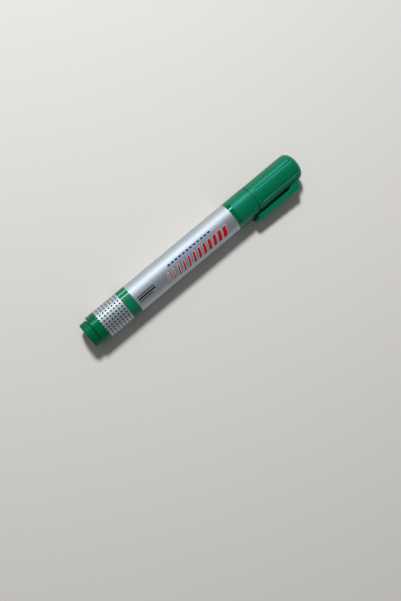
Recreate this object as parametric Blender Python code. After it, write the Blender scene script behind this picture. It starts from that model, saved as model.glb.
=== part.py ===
"""Permanent marker with its cap on, lying on its side.

Every piece is turned about one axis, which runs along world +X from the rear plug to the cap's end.
Metres, +Z up. The pocket clip points to -Y, rolled down by half a facet so that the marker lies on a
flat of its skirt. Heights in an outline are measured along the axis, from the piece's own rear face.
"""

import math

import bmesh
import bpy

MM = 0.001

# Facets of the turned pieces
SIDES = 36
ARC_STEPS = 4
WELD = 0.0005 * MM
SHARP_ANGLE = math.radians(30)

# Clearances between pieces
SEAT_GAP = 0.2 * MM
FIT_GAP = 0.1 * MM
RUNNING_GAP = 0.05 * MM
FILM_GAP = 0.03 * MM
SEAL_GAP = 0.3 * MM

# Barrel: body, shoulder and neck
BARREL_RADIUS = 8.0 * MM
BARREL_LENGTH = 93.5 * MM
BARREL_WALL = 1.8 * MM
BARREL_EDGE_ROUND = 0.5 * MM
SHOULDER_ROUND = 0.5 * MM
SHOULDER_STEP = 1.4 * MM
NECK_LENGTH = 11.5 * MM
NECK_WALL = 1.2 * MM
NECK_CHAMFER = 0.4 * MM
NECK_BEAD_HEIGHT = 0.15 * MM
NECK_BEAD_WIDTH = 1.2 * MM
NECK_BEAD_FROM_SHOULDER = 4.0 * MM
BORE_LEAD_IN = 0.3 * MM
BORE_STEP_BEHIND_SHOULDER = 1.6 * MM

# Ribs that centre the filler in the bore
RIB_COUNT = 6
RIB_HEIGHT = 0.45 * MM
RIB_WIDTH = 0.8 * MM
RIB_ROOT = 0.5 * MM

# Printed film, laid in a shallow recess of the barrel
FILM_THICKNESS = 0.12 * MM
FILM_FROM_RIM = 4.63 * MM
FILM_FROM_SHOULDER = 2.1 * MM

# Rear plug
PLUG_STEP = 1.0 * MM
PLUG_HEAD_LENGTH = 4.45 * MM
PLUG_EDGE_ROUND = 0.7 * MM
PLUG_END_WALL = 1.8 * MM
PLUG_WALL = 1.2 * MM
PLUG_SPIGOT_LENGTH = 9.0 * MM
PLUG_CHAMFER = 0.5 * MM
PLUG_BEAD_COUNT = 2
PLUG_BEAD_WIDTH = 0.8 * MM

# Share of a snap bead's width that each of its two slopes takes
BEAD_SLOPE_SHARE = 0.25

# Ink filler and its sleeve
WRAP_THICKNESS = 0.15 * MM

# Nib
NIB_RADIUS = 2.3 * MM
NIB_CHAMFER = 0.5 * MM
NIB_TAIL_IN_FILLER = 7.0 * MM
NIB_SHANK_EXPOSED = 1.6 * MM
NIB_BULLET_LENGTH = 4.4 * MM
NIB_TIP_ROOM = 9.6 * MM

# Nose piece that holds the nib
HOLDER_FLANGE_THICKNESS = 1.2 * MM
HOLDER_FLANGE_INSET = 0.2 * MM
HOLDER_SPIGOT_LENGTH = 8.0 * MM
HOLDER_LAND_LENGTH = 4.0 * MM
NOSE_LENGTH = 7.0 * MM
NOSE_WALL = 0.9 * MM
NOSE_ROUND = 0.4 * MM

# Cap
CAP_STEP = 0.1 * MM
CAP_SKIRT_LENGTH = 11.45 * MM
CAP_MOUTH_ROUND = 0.3 * MM
CAP_GROOVE_WIDTH = 0.9 * MM
CAP_GROOVE_DEPTH = 0.45 * MM
CAP_END_ROUND = 4.0 * MM
CAP_END_STEPS = 8
CAP_END_WALL = 2.5 * MM
CAP_WALL = 1.6 * MM
CAP_BEAD_WIDTH = 1.0 * MM
CAP_BEAD_CLEARANCE = 0.15 * MM

# Recessed panels round the cap, none of them under the clip, which run out into its rounded end
PANEL_TURNS = (0.25, 0.75)
PANEL_WIDTH_TURNS = 0.17
PANEL_DEPTH = 0.35 * MM
PANEL_FROM_GROOVE = 2.85 * MM
PANEL_FROM_END = 1.5 * MM
PANEL_ARC_STEPS = 8

# Sealing cup inside the cap
INNER_CAP_WALL = 0.7 * MM
INNER_CAP_END_WALL = 0.8 * MM
INNER_CAP_ROUND = 0.4 * MM

# Pocket clip, moulded with the cap
CLIP_GAP = 0.35 * MM
CLIP_THICKNESS = 2.8 * MM
CLIP_TOE_WIDTH = 4.6 * MM
CLIP_ROOT_WIDTH = 8.9 * MM
CLIP_FROM_MOUTH = 8.5 * MM
CLIP_TOE_SLANT = 1.8 * MM
CLIP_TOE_ROUND = 1.3 * MM
CLIP_ROOT_FROM_END = 4.05 * MM
CLIP_ROOT_LENGTH = 5.0 * MM
CLIP_BACK_SLANT = 3.5 * MM
CLIP_CROTCH_SLANT = 3.0 * MM
CLIP_ROOT_SINK = 0.15 * MM
CLIP_EDGE_ROUND = 0.45 * MM
CLIP_EDGE_STEPS = 2
CLIP_GRIP_HEIGHT = 0.2 * MM
CLIP_GRIP_LENGTH = 2.0 * MM

# Radii that follow from the sizes above
BORE_RADIUS = BARREL_RADIUS - BARREL_WALL
FILM_SEAT_RADIUS = BARREL_RADIUS - FILM_THICKNESS - FILM_GAP
NECK_RADIUS = BARREL_RADIUS - SHOULDER_STEP
NECK_BORE_RADIUS = NECK_RADIUS - NECK_WALL
NECK_BEAD_RADIUS = NECK_RADIUS + NECK_BEAD_HEIGHT
PLUG_HEAD_RADIUS = BARREL_RADIUS - PLUG_STEP
PLUG_RADIUS = BORE_RADIUS - FIT_GAP
WRAP_RADIUS = BORE_RADIUS - RIB_HEIGHT - FIT_GAP
FILLER_RADIUS = WRAP_RADIUS - WRAP_THICKNESS - FILM_GAP
NIB_BORE_RADIUS = NIB_RADIUS + FIT_GAP
NOSE_TIP_RADIUS = NIB_BORE_RADIUS + NOSE_WALL
CAP_BEAD_RADIUS = NECK_BEAD_RADIUS + RUNNING_GAP
CAP_BORE_RADIUS = CAP_BEAD_RADIUS + CAP_BEAD_CLEARANCE
CAP_UPPER_RADIUS = BARREL_RADIUS - CAP_STEP
CAP_UPPER_BORE_RADIUS = CAP_UPPER_RADIUS - CAP_WALL
INNER_CAP_RADIUS = CAP_UPPER_BORE_RADIUS - FIT_GAP
INNER_CAP_BORE_RADIUS = INNER_CAP_RADIUS - INNER_CAP_WALL
HOLDER_LAND_RADIUS = INNER_CAP_BORE_RADIUS - SEAL_GAP
HOLDER_FLANGE_RADIUS = NECK_RADIUS - HOLDER_FLANGE_INSET
HOLDER_SPIGOT_RADIUS = NECK_BORE_RADIUS - FIT_GAP
CLIP_INNER_REACH = BARREL_RADIUS + CLIP_GAP
CLIP_OUTER_REACH = CLIP_INNER_REACH + CLIP_THICKNESS

# Places along the axis that follow from the sizes above, from the rear end of the plug
RIM_AT = PLUG_HEAD_LENGTH + SEAT_GAP
SHOULDER_AT = RIM_AT + BARREL_LENGTH
NECK_END_AT = SHOULDER_AT + NECK_LENGTH
BORE_STEP_AT = SHOULDER_AT - BORE_STEP_BEHIND_SHOULDER
FILM_AT = RIM_AT + FILM_FROM_RIM + FILM_GAP
FILM_LENGTH = BARREL_LENGTH - FILM_FROM_RIM - FILM_FROM_SHOULDER - 2 * FILM_GAP
PLUG_LENGTH = RIM_AT + PLUG_SPIGOT_LENGTH
FILLER_AT = PLUG_LENGTH + SEAT_GAP
FILLER_LENGTH = BORE_STEP_AT - SEAT_GAP - FILLER_AT
HOLDER_FLANGE_AT = NECK_END_AT + SEAT_GAP
HOLDER_AT = HOLDER_FLANGE_AT - HOLDER_SPIGOT_LENGTH
HOLDER_LAND_AT = HOLDER_FLANGE_AT + HOLDER_FLANGE_THICKNESS
NOSE_END_AT = HOLDER_LAND_AT + HOLDER_LAND_LENGTH + NOSE_LENGTH
NIB_AT = FILLER_AT + FILLER_LENGTH - NIB_TAIL_IN_FILLER
NIB_SHANK_LENGTH = NOSE_END_AT + NIB_SHANK_EXPOSED - NIB_AT
NIB_TIP_AT = NIB_AT + NIB_SHANK_LENGTH + NIB_BULLET_LENGTH
CAP_AT = SHOULDER_AT + SEAT_GAP
INNER_CAP_AT = HOLDER_LAND_AT + SEAT_GAP
INNER_CAP_LENGTH = NIB_TIP_AT + NIB_TIP_ROOM + INNER_CAP_END_WALL - INNER_CAP_AT
MARKER_LENGTH = INNER_CAP_AT + INNER_CAP_LENGTH + SEAT_GAP + CAP_END_WALL
CAP_LENGTH = MARKER_LENGTH - CAP_AT

# How the marker lies: half a facet of roll puts a flat of the skirt on the floor
ROLL = math.pi / SIDES
AXIS_HEIGHT = BARREL_RADIUS * math.cos(ROLL)
CLIP_SPAN = CAP_LENGTH - CLIP_ROOT_FROM_END - CLIP_FROM_MOUTH
CLIP_BACK_WIDTH = CLIP_ROOT_WIDTH - (CLIP_ROOT_WIDTH - CLIP_TOE_WIDTH) * CLIP_BACK_SLANT / CLIP_SPAN
CLIP_SIDE_REACH = (
    (CLIP_OUTER_REACH - CLIP_EDGE_ROUND) * math.cos(ROLL)
    + (CLIP_BACK_WIDTH / 2 - CLIP_EDGE_ROUND) * math.sin(ROLL)
    + CLIP_EDGE_ROUND
)
AXIS_OFFSET = (CLIP_SIDE_REACH - BARREL_RADIUS * math.cos(ROLL)) / 2

# Colours as the photo shows them, in sRGB
MARKER_GREEN = "#00744B"
LABEL_SILVER = "#B9BDC2"
HOLDER_GREEN = "#005C3C"
NIB_FIBRE = "#1F5A45"
FILLER_FIBRE = "#2A6B52"
CLEAR_FILM = "#D9DEDC"
NATURAL_PLASTIC = "#E9ECE8"


def linear_colour(hex_colour):
    """The linear RGBA of an sRGB hex colour."""
    colour = []
    for at in (1, 3, 5):
        share = int(hex_colour[at : at + 2], 16) / 255
        colour.append(((share + 0.055) / 1.055) ** 2.4 if share > 0.04045 else share / 12.92)
    return colour + [1.0]


def finish(name, hex_colour, roughness, metallic=0.0):
    material = bpy.data.materials.new(name)
    material.use_nodes = True
    shader = material.node_tree.nodes["Principled BSDF"]
    shader.inputs["Base Color"].default_value = linear_colour(hex_colour)
    shader.inputs["Roughness"].default_value = roughness
    shader.inputs["Metallic"].default_value = metallic
    material.diffuse_color = linear_colour(hex_colour)
    return material


def clear_scene():
    for old in list(bpy.data.objects):
        bpy.data.objects.remove(old, do_unlink=True)


def add_axis():
    """The marker's axis: its local Z runs to the cap and its local X points out through the clip."""
    axis = bpy.data.objects.new("marker_axis", None)
    axis.rotation_mode = "ZYX"
    axis.rotation_euler = (0.0, math.pi / 2, ROLL - math.pi / 2)
    axis.location = (-MARKER_LENGTH / 2, AXIS_OFFSET, AXIS_HEIGHT)
    bpy.context.collection.objects.link(axis)
    return axis


def add_object(name, mesh_maker, axis, along, material=None):
    """Puts a modelled mesh on the axis, that far from the marker's rear end."""
    bmesh.ops.recalc_face_normals(mesh_maker, faces=mesh_maker.faces)
    mesh = bpy.data.meshes.new(name)
    mesh_maker.to_mesh(mesh)
    mesh_maker.free()
    mesh.shade_smooth()
    mesh.set_sharp_from_angle(angle=SHARP_ANGLE)
    piece = bpy.data.objects.new(name, mesh)
    piece.parent = axis
    piece.location.z = along
    if material:
        mesh.materials.append(material)
    bpy.context.collection.objects.link(piece)
    return piece


def as_helper(piece):
    """Marks an object that only shapes another one."""
    piece.hide_render = True
    piece.display_type = "WIRE"
    return piece


def combine(piece, helper, operation):
    modifier = piece.modifiers.new(f"{operation.lower()} {helper.name}", "BOOLEAN")
    modifier.operation = operation
    modifier.solver = "EXACT"
    modifier.object = as_helper(helper)


def round_corner(radius, height, size, start_turn, steps=ARC_STEPS):
    """Points of a quarter round about (radius, height), from start_turn counter-clockwise in turns."""
    angles = [math.tau * (start_turn + 0.25 * step / steps) for step in range(steps + 1)]
    return [(radius + size * math.cos(angle), height + size * math.sin(angle)) for angle in angles]


def bead(radius, top_radius, start, width):
    """Four points of a snap bead on a turned outline, which slopes at both ends."""
    slope = width * BEAD_SLOPE_SHARE
    return [
        (radius, start),
        (top_radius, start + slope),
        (top_radius, start + width - slope),
        (radius, start + width),
    ]


def turned(name, outline, axis, along, material):
    """A solid of revolution whose (radius, height) outline may end on the axis."""
    mesh_maker = bmesh.new()
    points = [mesh_maker.verts.new((radius, 0.0, height)) for radius, height in outline]
    on_axis = outline[0][0] == 0.0 and outline[-1][0] == 0.0
    ends = points[1:] if on_axis else points[1:] + points[:1]
    edges = [mesh_maker.edges.new(pair) for pair in zip(points, ends)]
    bmesh.ops.spin(
        mesh_maker, geom=points + edges, cent=(0, 0, 0), axis=(0, 0, 1), angle=math.tau, steps=SIDES
    )
    bmesh.ops.remove_doubles(mesh_maker, verts=mesh_maker.verts, dist=WELD)
    return add_object(name, mesh_maker, axis, along, material)


def add_barrel(axis):
    """Body with a recess for the film, shoulder ring, neck with a snap bead, and a stepped bore."""
    film_from = FILM_FROM_RIM
    film_to = BARREL_LENGTH - FILM_FROM_SHOULDER
    neck_end = BARREL_LENGTH + NECK_LENGTH
    bore_step = BARREL_LENGTH - BORE_STEP_BEHIND_SHOULDER
    bead_start = BARREL_LENGTH + NECK_BEAD_FROM_SHOULDER
    outline = [(BORE_RADIUS + BORE_LEAD_IN, 0.0)]
    outline += round_corner(BARREL_RADIUS - BARREL_EDGE_ROUND, BARREL_EDGE_ROUND, BARREL_EDGE_ROUND, 0.75)
    outline += [
        (BARREL_RADIUS, film_from),
        (FILM_SEAT_RADIUS, film_from),
        (FILM_SEAT_RADIUS, film_to),
        (BARREL_RADIUS, film_to),
    ]
    outline += round_corner(
        BARREL_RADIUS - SHOULDER_ROUND, BARREL_LENGTH - SHOULDER_ROUND, SHOULDER_ROUND, 0.0
    )
    outline += [(NECK_RADIUS, BARREL_LENGTH)]
    outline += bead(NECK_RADIUS, NECK_BEAD_RADIUS, bead_start, NECK_BEAD_WIDTH)
    outline += [
        (NECK_RADIUS, neck_end - NECK_CHAMFER),
        (NECK_RADIUS - NECK_CHAMFER, neck_end),
        (NECK_BORE_RADIUS, neck_end),
        (NECK_BORE_RADIUS, bore_step),
        (BORE_RADIUS, bore_step),
        (BORE_RADIUS, BORE_LEAD_IN),
    ]
    green = finish("barrel green polypropylene", MARKER_GREEN, 0.32)
    barrel = turned("barrel", outline, axis, RIM_AT, green)
    combine(barrel, add_filler_ribs(axis, green), "UNION")
    return barrel


def add_filler_ribs(axis, material):
    """Straight ribs along the bore, from the plug's end into the step at the neck."""
    mesh_maker = bmesh.new()
    inner = BORE_RADIUS - RIB_HEIGHT
    outer = BORE_RADIUS + RIB_ROOT
    length = BORE_STEP_AT + RIB_ROOT - FILLER_AT
    for number in range(RIB_COUNT):
        rib = bmesh.ops.create_cube(mesh_maker, size=1.0)["verts"]
        bmesh.ops.scale(mesh_maker, verts=rib, vec=(outer - inner, RIB_WIDTH, length))
        bmesh.ops.translate(mesh_maker, verts=rib, vec=((outer + inner) / 2, 0.0, length / 2))
        turn = (math.cos(math.tau * number / RIB_COUNT), math.sin(math.tau * number / RIB_COUNT))
        for corner in rib:
            x, y = corner.co.x, corner.co.y
            corner.co.x = x * turn[0] - y * turn[1]
            corner.co.y = x * turn[1] + y * turn[0]
    return add_object("filler_ribs", mesh_maker, axis, FILLER_AT, material)


def add_label_film(axis):
    seat = FILM_SEAT_RADIUS + FILM_GAP
    face = seat + FILM_THICKNESS
    outline = [(seat, 0.0), (face, 0.0), (face, FILM_LENGTH), (seat, FILM_LENGTH)]
    silver = finish("label silver film", LABEL_SILVER, 0.3, 0.85)
    return turned("label_film", outline, axis, FILM_AT, silver)


def add_rear_plug(axis):
    """Button with a rounded edge, and a hollow spigot with sealing beads that fits the bore."""
    bead_radius = BORE_RADIUS - RUNNING_GAP
    bead_pitch = PLUG_SPIGOT_LENGTH / (PLUG_BEAD_COUNT + 1)
    hollow_radius = PLUG_RADIUS - PLUG_WALL
    outline = [(0.0, 0.0)]
    outline += round_corner(PLUG_HEAD_RADIUS - PLUG_EDGE_ROUND, PLUG_EDGE_ROUND, PLUG_EDGE_ROUND, 0.75)
    outline += [(PLUG_HEAD_RADIUS, PLUG_HEAD_LENGTH), (PLUG_RADIUS, PLUG_HEAD_LENGTH)]
    for number in range(1, PLUG_BEAD_COUNT + 1):
        outline += bead(PLUG_RADIUS, bead_radius, RIM_AT + bead_pitch * number, PLUG_BEAD_WIDTH)
    outline += [
        (PLUG_RADIUS, PLUG_LENGTH - PLUG_CHAMFER),
        (PLUG_RADIUS - PLUG_CHAMFER, PLUG_LENGTH),
        (hollow_radius, PLUG_LENGTH),
        (hollow_radius, PLUG_END_WALL),
        (0.0, PLUG_END_WALL),
    ]
    green = finish("plug green polypropylene", MARKER_GREEN, 0.36)
    return turned("rear_plug", outline, axis, 0.0, green)


def add_ink_filler(axis):
    """Fibre rod with the socket that the nib's tail has pressed into its front end."""
    socket_end = FILLER_LENGTH - NIB_TAIL_IN_FILLER - FIT_GAP
    outline = [
        (0.0, 0.0),
        (FILLER_RADIUS, 0.0),
        (FILLER_RADIUS, FILLER_LENGTH),
        (NIB_BORE_RADIUS, FILLER_LENGTH),
        (NIB_BORE_RADIUS, socket_end),
        (0.0, socket_end),
    ]
    fibre = finish("inked polyester fibre", FILLER_FIBRE, 0.9)
    return turned("ink_filler", outline, axis, FILLER_AT, fibre)


def add_filler_wrap(axis):
    inner = FILLER_RADIUS + FILM_GAP
    outline = [(inner, 0.0), (WRAP_RADIUS, 0.0), (WRAP_RADIUS, FILLER_LENGTH), (inner, FILLER_LENGTH)]
    film = finish("clear filler film", CLEAR_FILM, 0.25)
    return turned("filler_wrap", outline, axis, FILLER_AT, film)


def add_nib(axis):
    """Straight fibre shank with a chamfered tail and a bullet-shaped writing end."""
    outline = [(0.0, 0.0), (NIB_RADIUS - NIB_CHAMFER, 0.0), (NIB_RADIUS, NIB_CHAMFER)]
    steps = 2 * ARC_STEPS
    for step in range(steps):
        angle = math.pi / 2 * step / steps
        outline.append(
            (NIB_RADIUS * math.cos(angle), NIB_SHANK_LENGTH + NIB_BULLET_LENGTH * math.sin(angle))
        )
    outline.append((0.0, NIB_SHANK_LENGTH + NIB_BULLET_LENGTH))
    fibre = finish("nib felt", NIB_FIBRE, 0.85)
    return turned("nib", outline, axis, NIB_AT, fibre)


def add_nib_holder(axis):
    """Spigot in the neck, flange on its end, round land for the seal, and a tapering nose."""
    flange = HOLDER_SPIGOT_LENGTH
    land = flange + HOLDER_FLANGE_THICKNESS
    nose = land + HOLDER_LAND_LENGTH
    nose_end = nose + NOSE_LENGTH
    outline = [
        (NIB_BORE_RADIUS, 0.0),
        (HOLDER_SPIGOT_RADIUS, 0.0),
        (HOLDER_SPIGOT_RADIUS, flange),
        (HOLDER_FLANGE_RADIUS, flange),
        (HOLDER_FLANGE_RADIUS, land),
        (HOLDER_LAND_RADIUS, land),
        (HOLDER_LAND_RADIUS, nose),
    ]
    outline += round_corner(NOSE_TIP_RADIUS - NOSE_ROUND, nose_end - NOSE_ROUND, NOSE_ROUND, 0.0)
    outline += [(NIB_BORE_RADIUS, nose_end)]
    green = finish("nose green polypropylene", HOLDER_GREEN, 0.4)
    return turned("nib_holder", outline, axis, HOLDER_AT, green)


def add_inner_cap(axis):
    """Cup whose mouth closes round the land of the nose piece."""
    rounded = INNER_CAP_ROUND
    outline = [(0.0, INNER_CAP_LENGTH)]
    outline += reversed(
        round_corner(INNER_CAP_RADIUS - rounded, INNER_CAP_LENGTH - rounded, rounded, 0.0)
    )
    outline += [
        (INNER_CAP_RADIUS, 0.0),
        (INNER_CAP_BORE_RADIUS, 0.0),
        (INNER_CAP_BORE_RADIUS, INNER_CAP_LENGTH - INNER_CAP_END_WALL),
        (0.0, INNER_CAP_LENGTH - INNER_CAP_END_WALL),
    ]
    natural = finish("seal natural polyethylene", NATURAL_PLASTIC, 0.45)
    return turned("inner_cap", outline, axis, INNER_CAP_AT, natural)


def add_cap(axis):
    """Skirt, groove and upper body with a rounded end, joined with the clip and cut by the panels."""
    groove_end = CAP_SKIRT_LENGTH + CAP_GROOVE_WIDTH
    groove_floor = CAP_UPPER_RADIUS + CAP_STEP - CAP_GROOVE_DEPTH
    bore_step = INNER_CAP_AT - CAP_AT
    bead_start = NECK_BEAD_FROM_SHOULDER - SEAT_GAP - CAP_BEAD_WIDTH - RUNNING_GAP
    outline = [(0.0, CAP_LENGTH)]
    end_corner = (CAP_UPPER_RADIUS - CAP_END_ROUND, CAP_LENGTH - CAP_END_ROUND)
    outline += reversed(round_corner(*end_corner, CAP_END_ROUND, 0.0, CAP_END_STEPS))
    outline += [
        (CAP_UPPER_RADIUS, groove_end),
        (groove_floor, groove_end),
        (groove_floor, CAP_SKIRT_LENGTH),
        (BARREL_RADIUS, CAP_SKIRT_LENGTH),
    ]
    outline += reversed(
        round_corner(BARREL_RADIUS - CAP_MOUTH_ROUND, CAP_MOUTH_ROUND, CAP_MOUTH_ROUND, 0.75)
    )
    outline += [(CAP_BORE_RADIUS, 0.0)]
    outline += bead(CAP_BORE_RADIUS, CAP_BEAD_RADIUS, bead_start, CAP_BEAD_WIDTH)
    outline += [
        (CAP_BORE_RADIUS, bore_step),
        (CAP_UPPER_BORE_RADIUS, bore_step),
        (CAP_UPPER_BORE_RADIUS, CAP_LENGTH - CAP_END_WALL),
        (0.0, CAP_LENGTH - CAP_END_WALL),
    ]
    green = finish("cap green polypropylene", MARKER_GREEN, 0.3)
    cap = turned("cap", outline, axis, CAP_AT, green)
    combine(cap, add_clip(axis, green), "UNION")
    combine(cap, add_panel_cutters(axis, green), "DIFFERENCE")
    return cap


def clip_outline():
    """Side view of the clip as (reach from the axis, height above the cap's mouth)."""
    half_root = CLIP_ROOT_WIDTH / 2
    foot = math.sqrt(CAP_UPPER_RADIUS**2 - half_root**2) - CLIP_ROOT_SINK
    foot = max(foot, CAP_UPPER_BORE_RADIUS + CLIP_ROOT_SINK)
    root_end = CAP_LENGTH - CLIP_ROOT_FROM_END
    root_start = root_end - CLIP_ROOT_LENGTH
    grip_start = CLIP_FROM_MOUTH + CLIP_TOE_SLANT
    outline = [(foot, root_end), (CLIP_OUTER_REACH, root_end - CLIP_BACK_SLANT)]
    toe_corner = (CLIP_OUTER_REACH - CLIP_TOE_ROUND, CLIP_FROM_MOUTH + CLIP_TOE_ROUND)
    outline += reversed(round_corner(*toe_corner, CLIP_TOE_ROUND, 0.75))
    outline += [
        (CLIP_INNER_REACH - CLIP_GRIP_HEIGHT, grip_start),
        (CLIP_INNER_REACH - CLIP_GRIP_HEIGHT, grip_start + CLIP_GRIP_LENGTH / 2),
        (CLIP_INNER_REACH, grip_start + CLIP_GRIP_LENGTH),
        (CLIP_INNER_REACH, root_start - CLIP_CROTCH_SLANT),
        (foot, root_start),
    ]
    return outline


def add_clip(axis, material):
    """The side view extruded across, wider towards its root, with rounded edges except at its foot."""
    mesh_maker = bmesh.new()
    outline = clip_outline()
    foot = outline[0][0]
    side = mesh_maker.faces.new([mesh_maker.verts.new((reach, 0.0, height)) for reach, height in outline])
    across = bmesh.ops.extrude_face_region(mesh_maker, geom=[side])["geom"]
    far_side = {item for item in across if isinstance(item, bmesh.types.BMVert)}
    for corner in mesh_maker.verts:
        share = (corner.co.z - CLIP_FROM_MOUTH) / CLIP_SPAN
        half_width = (CLIP_TOE_WIDTH + (CLIP_ROOT_WIDTH - CLIP_TOE_WIDTH) * share) / 2
        corner.co.y = half_width if corner in far_side else -half_width
    rims = []
    for edge in mesh_maker.edges:
        start, end = edge.verts
        along_side = (start in far_side) == (end in far_side)
        if along_side and max(start.co.x, end.co.x) > foot + WELD:
            rims.append(edge)
    bmesh.ops.bevel(
        mesh_maker,
        geom=rims,
        offset=CLIP_EDGE_ROUND,
        segments=CLIP_EDGE_STEPS,
        profile=0.5,
        affect="EDGES",
    )
    return add_object("clip", mesh_maker, axis, CAP_AT, material)


def add_panel_cutters(axis, material):
    """Ring sectors that sink the panels into the upper body."""
    mesh_maker = bmesh.new()
    floor = CAP_UPPER_RADIUS - PANEL_DEPTH
    outside = CAP_UPPER_RADIUS + PANEL_DEPTH
    start = CAP_SKIRT_LENGTH + CAP_GROOVE_WIDTH + PANEL_FROM_GROOVE
    end = CAP_LENGTH - PANEL_FROM_END
    section = [(floor, start), (outside, start), (outside, end), (floor, end)]
    for turn in PANEL_TURNS:
        first = math.tau * (turn - PANEL_WIDTH_TURNS / 2)
        corners = [
            mesh_maker.verts.new((radius * math.cos(first), radius * math.sin(first), height))
            for radius, height in section
        ]
        side = mesh_maker.faces.new(corners)
        bmesh.ops.spin(
            mesh_maker,
            geom=[side],
            cent=(0, 0, 0),
            axis=(0, 0, 1),
            angle=math.tau * PANEL_WIDTH_TURNS,
            steps=PANEL_ARC_STEPS,
        )
    return add_object("panel_cutters", mesh_maker, axis, CAP_AT, material)


def main():
    clear_scene()
    axis = add_axis()
    add_barrel(axis)
    add_label_film(axis)
    add_rear_plug(axis)
    add_ink_filler(axis)
    add_filler_wrap(axis)
    add_nib_holder(axis)
    add_nib(axis)
    add_inner_cap(axis)
    add_cap(axis)


main()
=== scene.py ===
import math

import bmesh
import bpy
from bpy.props import FloatProperty, FloatVectorProperty, IntProperty, PointerProperty
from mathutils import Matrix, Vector


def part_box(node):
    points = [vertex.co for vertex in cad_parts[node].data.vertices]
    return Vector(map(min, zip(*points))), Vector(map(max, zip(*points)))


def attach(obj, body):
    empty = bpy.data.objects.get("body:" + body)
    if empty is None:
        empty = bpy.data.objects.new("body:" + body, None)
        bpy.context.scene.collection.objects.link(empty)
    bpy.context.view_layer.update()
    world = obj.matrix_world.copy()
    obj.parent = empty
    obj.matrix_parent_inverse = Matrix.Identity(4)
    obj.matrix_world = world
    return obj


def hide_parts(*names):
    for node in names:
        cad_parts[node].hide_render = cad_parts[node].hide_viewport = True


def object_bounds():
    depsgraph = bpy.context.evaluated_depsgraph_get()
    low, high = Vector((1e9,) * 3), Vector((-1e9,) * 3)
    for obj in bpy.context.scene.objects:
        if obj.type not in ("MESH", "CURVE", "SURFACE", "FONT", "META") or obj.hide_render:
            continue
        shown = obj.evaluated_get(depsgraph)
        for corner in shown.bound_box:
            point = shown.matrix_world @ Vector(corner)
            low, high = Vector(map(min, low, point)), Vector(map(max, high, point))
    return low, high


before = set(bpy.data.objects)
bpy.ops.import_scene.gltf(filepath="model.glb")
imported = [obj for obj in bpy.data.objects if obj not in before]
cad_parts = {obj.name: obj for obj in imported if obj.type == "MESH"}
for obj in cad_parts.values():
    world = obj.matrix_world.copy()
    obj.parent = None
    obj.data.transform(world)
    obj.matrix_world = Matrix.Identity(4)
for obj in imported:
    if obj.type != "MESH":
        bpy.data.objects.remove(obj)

bl_info = {
    "name": "Permanent marker",
    "version": (1, 0, 0),
    "blender": (4, 5, 0),
    "location": "3D View > Sidebar > Marker",
    "description": "Models the moulded pieces and the printed film of a marker, and a plain studio",
    "category": "Object",
}

MM = 0.001

# Where the packed model puts the marker: its axis runs along X, and places are millimetres from its rear end
CAD_LOW, CAD_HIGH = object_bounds()
FILM_LOW, FILM_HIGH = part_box("label_film")
REAR_X = CAD_LOW.x
AXIS = Vector((0.0, (FILM_LOW.y + FILM_HIGH.y) / 2, (FILM_LOW.z + FILM_HIGH.z) / 2))

# How far the clip hangs below level as the marker lies
CLIP_DROOP = math.radians(10.5)

# Steps round a turned piece and round a rounding, the distance that joins points, and the angle kept smooth
TURN_STEPS = 200
ARC_STEPS = 6
WELD = 0.002 * MM
SMOOTH_ANGLE = math.radians(40)

# Room between pieces, in millimetres
SEAT_GAP = 0.2
FIT_GAP = 0.1
FILM_GAP = 0.03
MOUTH_GAP = 0.03

# Forms that several pieces share, in millimetres
FINE_ROUND = 0.1
FILM_EDGE = 0.04
BEAD_HEIGHT = 0.15
GATE_DEPTH = 0.15
GATE_FLOOR = 0.8
GATE_RIM = 1.1

# The photo's camera: its place in metres, its angles in degrees, and its lens and sensor in millimetres
CAMERA_PLACE = (-0.065785, -0.021334, 0.41738)
CAMERA_TILT = -7.11
CAMERA_TURN = -40.28
CAMERA_LENS = 47.92
CAMERA_SENSOR = 36.0

# The nearest that the camera sees, and the width of the floor, in metres
CAMERA_NEAR = 0.01
FLOOR_SIZE = 6.0


def ends(node):
    """Where a CAD node starts and ends along the marker, in millimetres from the rear end."""
    low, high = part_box(node)
    return (low.x - REAR_X) / MM, (high.x - REAR_X) / MM


def reach(node):
    """Radius of a turned CAD node, in millimetres."""
    low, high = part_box(node)
    return (high.z - low.z) / 2 / MM


PLUG_START, PLUG_END = ends("rear_plug")
BARREL_START, NECK_END = ends("barrel")
FILM_START, FILM_END = ends("label_film")
CAP_START, CAP_END = ends("cap")
HOLDER_START, HOLDER_END = ends("nib_holder")
NIB_START, NIB_END = ends("nib")
FILLER_START, FILLER_END = ends("ink_filler")
SEAL_START, SEAL_END = ends("inner_cap")
SHOULDER = CAP_START - MOUTH_GAP


def linear(hex_colour):
    """The linear RGB of an sRGB hex colour."""
    shares = [int(hex_colour[at : at + 2], 16) / 255 for at in (1, 3, 5)]
    return [((share + 0.055) / 1.055) ** 2.4 if share > 0.04045 else share / 12.92 for share in shares]


def length_property(name, description, millimetres):
    """A length, which Blender keeps in metres."""
    return FloatProperty(
        name=name,
        description=description,
        default=millimetres * MM,
        min=0.0,
        precision=5,
        unit="LENGTH",
    )


def colour_property(name, description, hex_colour):
    """A colour, which Blender keeps as linear RGB."""
    return FloatVectorProperty(
        name=name,
        description=description,
        default=linear(hex_colour),
        min=0.0,
        max=1.0,
        subtype="COLOR",
    )


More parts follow.
